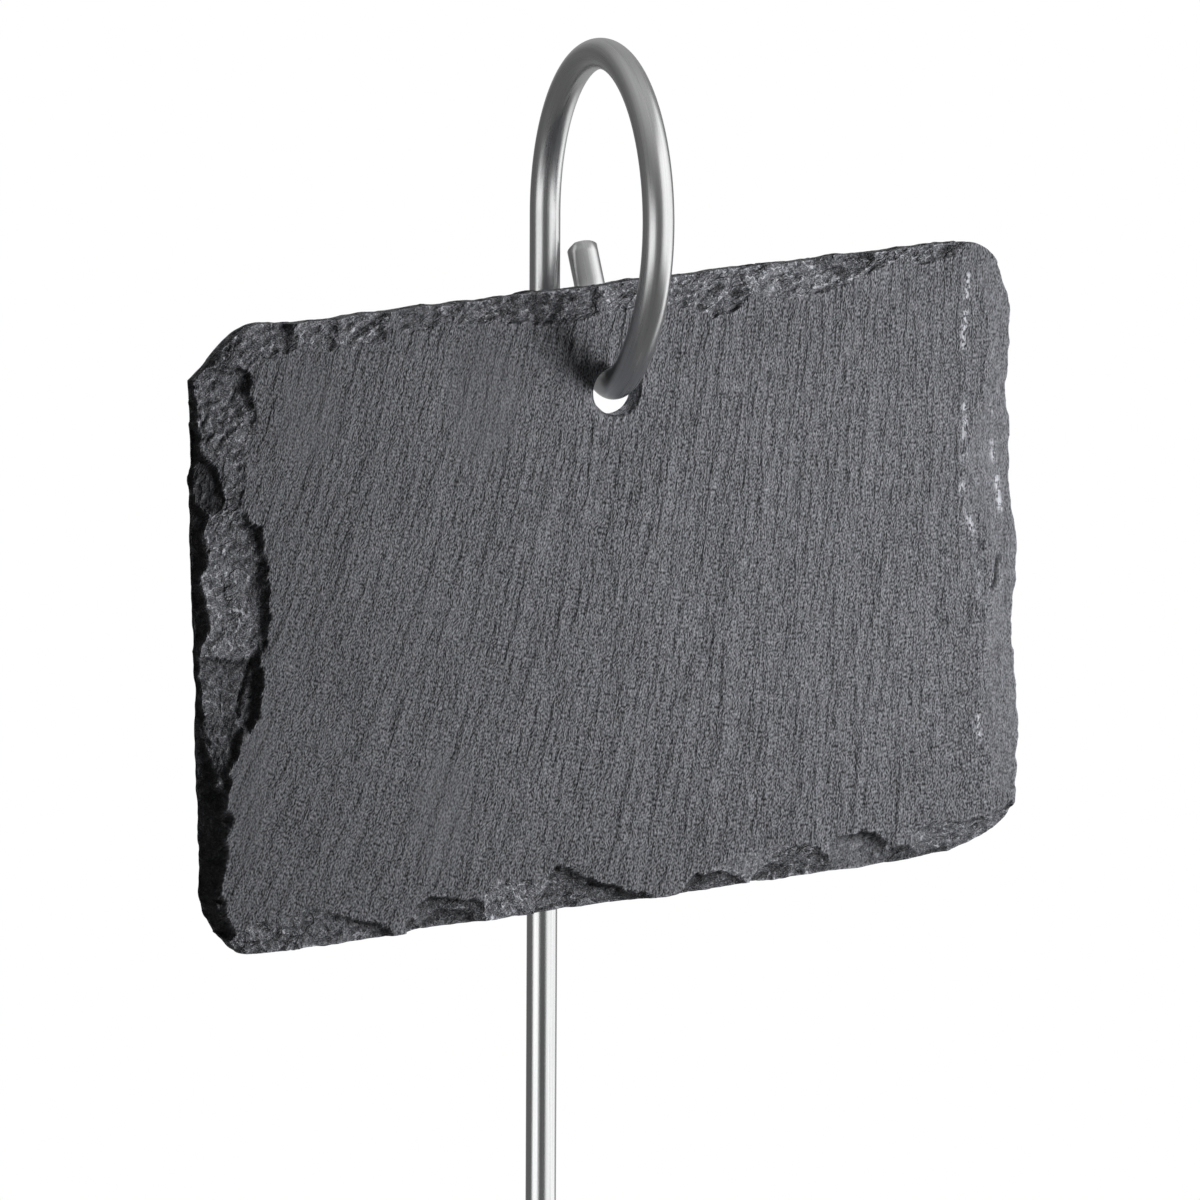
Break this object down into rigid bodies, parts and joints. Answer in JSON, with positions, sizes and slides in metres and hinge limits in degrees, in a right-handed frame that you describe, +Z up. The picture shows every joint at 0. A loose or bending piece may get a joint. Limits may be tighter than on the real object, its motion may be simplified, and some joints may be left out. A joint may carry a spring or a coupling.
{
  "type": "plant label stake",
  "caption": "Garden label: a slate plaque with dressed edges hangs from the ring of a bent stainless wire stake and swings on it.",
  "frame": {"origin": "on the shank's axis at the ground line, 227 mm below the ring's centre and 150 mm above the point", "axes": "+Z up along the shank, the slate's written face towards -Y, +X to the right as the face is seen"},
  "size_m": [0.1115, 0.046, 0.4],
  "materials": {
    "stainless": "satin drawn wire",
    "slate": "matt natural cleft with chipped edges"
  },
  "bodies": {
    "stake": {"wire_stake": "stainless"},
    "plaque": {"slate_plaque": "slate"}
  },
  "joints": [
    {"name": "plaque_swing", "type": "hinge", "parent": "stake", "child": "plaque", "pos_m": [0.00361, -0.02126, 0.22682], "axis": [-0.9851, 0.1408, 0.0986], "range_deg": [-10.5, 65]}
  ]
}
